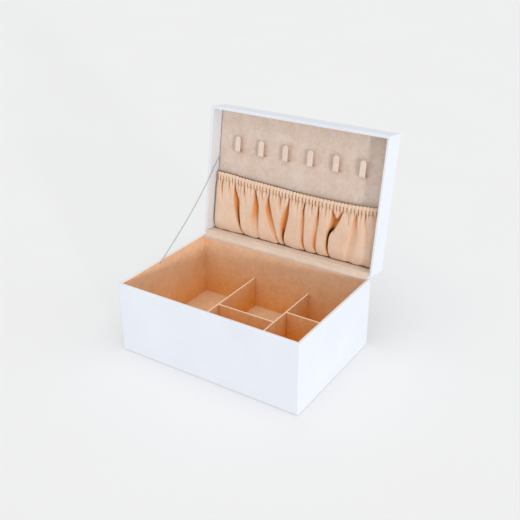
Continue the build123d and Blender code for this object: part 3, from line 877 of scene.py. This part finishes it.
def pocket_piece():
    """The pocket's cloth in one sheet: hem, casing over the elastic, gathered front."""
    section = smooth_curve(
        [
            (90.5, 8.0), (95.0, 8.0), (99.2, 8.2), (100.6, 8.8), (101.0, 9.7), (100.6, 10.7),
            (99.2, 11.3), (95.0, 11.5), (90.6, 11.3), (88.6, 10.5), (86.0, 11.0), (80.0, 12.0),
            (62.0, 12.8), (38.0, 13.2), (22.0, 12.8), (13.6, 10.6), (9.2, 7.2), (7.0, 4.4),
            (6.5, 2.4), (7.6, 0.9),
        ],
        POCKET_RINGS,
    )
    tangent = np.gradient(section, axis=0)
    tangent /= np.linalg.norm(tangent, axis=1)[:, None]
    outward = np.stack([-tangent[:, 1], tangent[:, 0]], 1)
    outward *= np.sign(outward[100, 1])
    x0 = np.linspace(-POCKET_HALF, POCKET_HALF, POCKET_COLUMNS)[:, None]
    v0, h0 = section[None, :, 0], section[None, :, 1]
    front = np.arange(len(section))[None, :] > HEM_RINGS
    x, v = np.broadcast_arrays(x0, v0)

    # The shirred casing: puffs with sharp valleys, which fade below its seam
    phase = PLEATS * (x + POCKET_HALF) / (2 * POCKET_HALF) + 0.16 * wander(x, 5, (31, 13, 57))
    pleat = np.floor(phase).astype(int)
    fades = np.random.default_rng(11).uniform(3.0, 11.0, PLEATS + 8)
    heights = np.random.default_rng(12).uniform(0.7, 1.25, PLEATS + 8)
    ridge = abs(np.sin(pi * phase))
    puff = ridge**0.6 - 0.7
    below = np.clip(STITCH - v, 0, None)
    strength = np.where(front, heights[pleat] * np.exp(-below / fades[pleat]), 0.5)
    shift = 1.9 * puff * strength
    seam_upper = np.exp(-(((v - UPPER_STITCH) / 0.55) ** 2)) * front
    seam_lower = np.exp(-(((v - STITCH) / 0.6) ** 2)) * front
    shift -= 0.3 * seam_upper + 0.45 * seam_lower

    # Troughs, with the lobes beside them leaning over their edges; each trough and a halo round it are
    # painted with shade
    slide = np.zeros_like(x)
    painted_shade = np.zeros_like(x)
    body = smoothstep((STITCH + 1.5 - v) / 6) * front
    for points in FOLDS:
        line = smooth_curve(points, 90)[::-1]
        place, depth, left, right = (np.interp(v[0], line[:, 1], line[:, i])[None, :] for i in (0, 2, 3, 4))
        low = points[-1][1]
        if low > 12:
            depth = depth * smoothstep((v[0] - low + 10) / 14)[None, :]
        away = x - place
        width = 1.3 * np.where(away < 0, 1.35 * left, 1.1 * right)
        across = abs(away) / width
        trough = np.clip(1 - across**2, 0, 1) ** 1.4
        shift -= body * depth * (trough + 0.16 * np.exp(-abs(away) / (width + 3.5)))
        edge = np.exp(-(((across - 0.85) / 0.45) ** 2)) * np.clip(depth / 7, 0, 1)
        slide -= body * np.sign(away) * edge * np.minimum(0.3 * width, 0.7)
        narrow = np.clip(depth / np.maximum(left, right) / 2 - 1.1, 0, 1)
        deep = np.clip(depth / 7.5, 0, 1) * (0.62 + 0.38 * narrow)
        glow = 0.22 * np.exp(-np.clip(across - 0.9, 0, None) * 1.6)
        painted_shade = np.maximum(painted_shade, body * deep * np.maximum(np.clip(1.35 - across**2, 0, 1), glow))
    shift = np.where(front, shift, np.minimum(shift, 0.2))

    # Soft unevenness of the lobes
    shift += body * 0.3 * wander(x + 9 * np.sin(v / 24), 3, (23, 37, 15)) * smoothstep((v - 8) / 20)
    shift += body * 0.2 * np.sin(v / 9 + 2.0 * wander(x, 8, (29, 47)))
    deepest = h0 * outward[None, :, 1] - 1.0 + 2.2 * (1 - abs(outward[None, :, 1]))
    shift = np.maximum(shift, -np.maximum(deepest, 0.8))
    frill = 0.8 * puff * smoothstep((v - 97) / 4)
    px = np.clip(x + slide, -POCKET_HALF, POCKET_HALF)
    rise = np.sin(pi / 2 * np.clip((POCKET_HALF - abs(px)) / END_RISE, 0, 1)) ** 0.8
    scallop = smoothstep((14 - v) / 8) * front * (0.45 * wander(x, 21, (19, 33)) + 0.9 * rise)
    sag = mouth_sag(x) * smoothstep((v - 4) / 96)
    pv = v + outward[None, :, 0] * shift + frill - scallop - sag
    ph = h0 + outward[None, :, 1] * shift
    ph = rise * ph + (1 - rise) * (0.45 + 0.12 * ph)
    points = on_lid(px, pv, -PANEL_DEPTH + np.maximum(ph, 0.5))
    faces = grid_faces(POCKET_COLUMNS, len(section))
    piece = mesh_piece("pocket_cloth", points, faces, pocket_suede, sharp=180)
    # Painted shade: a faint line at the lower seam, the casing's pleat valleys, a line along the foot and
    # one along each end
    seam_painted_shade = 0.08 * seam_lower
    valley = smoothstep((0.66 - ridge) / 0.42) * np.clip(strength, 0, 1)
    valley = valley * front * smoothstep((100.7 - v) / 0.8)
    side_line = 0.9 * smoothstep((abs(x) - POCKET_HALF + 1.3) / 0.8) * front
    under = smoothstep((7.5 - v) / 1.0) * front
    attribute(piece, "painted_shade", np.clip(np.maximum.reduce([painted_shade, seam_painted_shade, under, side_line]), 0, 1))
    attribute(piece, "painted_pleat_shade", 0.9 * valley)
    return piece


pocket = finish_piece(pocket_piece(), "lid", "pocket_cloth", "pocket_fabric", "pocket_elastic")

# ---- Cloth over the joint, from the base's rear lining to the lid's panel ----


def joint_cloth():
    """A strip glued over both rear rims, loose where it crosses the joint."""
    over_base = [(98.2, 105.0), (98.2, 109.6), (98.9, 111.0), (100.5, 111.3), (102.2, 111.9)]
    in_lid = ((1.6, 0.7), (3.6, 0.55), (4.75, -0.9), (4.75, -6), (4.75, -14), (4.75, -23.6))
    over_lid = [tuple(on_lid(0.0, v, n)[1:]) for v, n in in_lid]
    section = smooth_curve(over_base + over_lid, 90)
    x = np.linspace(-POCKET_HALF, POCKET_HALF, 300)
    tangent = np.gradient(section, axis=0)
    tangent /= np.linalg.norm(tangent, axis=1)[:, None]
    outward = np.stack([-tangent[:, 1], tangent[:, 0]], 1)
    t = np.linspace(0, 1, len(section))[None, :]
    wave = wander(x[:, None], 31, (46, 83, 27)) * 0.35 + wander(x[:, None] + 40 * t, 33, (17, 29)) * 0.18
    loose = np.sin(pi * t) ** 0.6
    shift = 0.25 + wave * loose
    y = section[None, :, 0] + outward[None, :, 0] * shift
    z = section[None, :, 1] + outward[None, :, 1] * shift
    points = on_base(x[:, None], y, z)
    piece = mesh_piece("joint_cloth", points, grid_faces(len(x), len(section)), joint_suede, sharp=180)
    # Painted shade at the strip's end under the pocket's foot
    attribute(piece, "painted_shade", np.broadcast_to(0.6 * smoothstep((t - 0.9) / 0.09), y.shape))
    return piece


joint = finish_piece(joint_cloth(), None, "hinge_cloth", "hinge_cloth")

# ---- Materials of the CAD pieces that stay ----

STAYS = {
    "hinge_metal": metal,
    "board": fibre,
    "foam": foam,
    "underside_paper": paper,
    "suede": lining_suede,
}
SCREWS = ("base_hinge_screws", "lid_hinge_screws")
for part in frame["record"]["subparts"]:
    if part["material_slot"] in STAYS:
        node = frame["nodes"][part["node"]]
        node.data.materials.clear()
        node.data.materials.append(screw_metal if part["node"] in SCREWS else STAYS[part["material_slot"]])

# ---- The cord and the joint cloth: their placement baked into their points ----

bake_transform(cord)
lid_edge = on_lid(0.0, 4.2, 0.0) * MM
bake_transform(joint)

# ---- Studio ----

floor = bpy.data.objects.new("studio_floor", bpy.data.meshes.new("studio_floor"))
FLOOR_REACH = 14.0
quarters = ((-1, -1), (1, -1), (1, 1), (-1, 1))
floor_corners = [(x * FLOOR_REACH, y * FLOOR_REACH, 0) for x, y in quarters]
floor.data.from_pydata(floor_corners, [], [(0, 1, 2, 3)])
floor.data.materials.append(studio_floor())
bpy.context.scene.collection.objects.link(floor)

world = bpy.data.worlds.new("studio")
bpy.context.scene.world = world
world.use_nodes = True
background = world.node_tree.nodes["Background"]
background.inputs["Color"].default_value = (0.99, 0.995, 1.0, 1)
background.inputs["Strength"].default_value = 0.7


def distant_lamp(name, azimuth, elevation, spread, strength):
    """A far soft white lamp: azimuth 0 is in front of the case and 90 on its right."""
    a, e = radians(azimuth), radians(elevation)
    towards = Vector((sin(a) * cos(e), -cos(a) * cos(e), sin(e)))
    lamp = bpy.data.objects.new(name, bpy.data.lights.new(name, "SUN"))
    lamp.data.angle = radians(spread)
    lamp.data.energy = strength
    lamp.location = towards * 2
    lamp.rotation_mode = "QUATERNION"
    lamp.rotation_quaternion = towards.to_track_quat("Z", "Y")
    bpy.context.scene.collection.objects.link(lamp)


distant_lamp("key", 56, 4, 5, 0.95)
distant_lamp("right fill", 98, 34, 60, 0.18)
distant_lamp("overhead", 20, 78, 70, 0.68)

bpy.context.scene.view_settings.view_transform = "Standard"
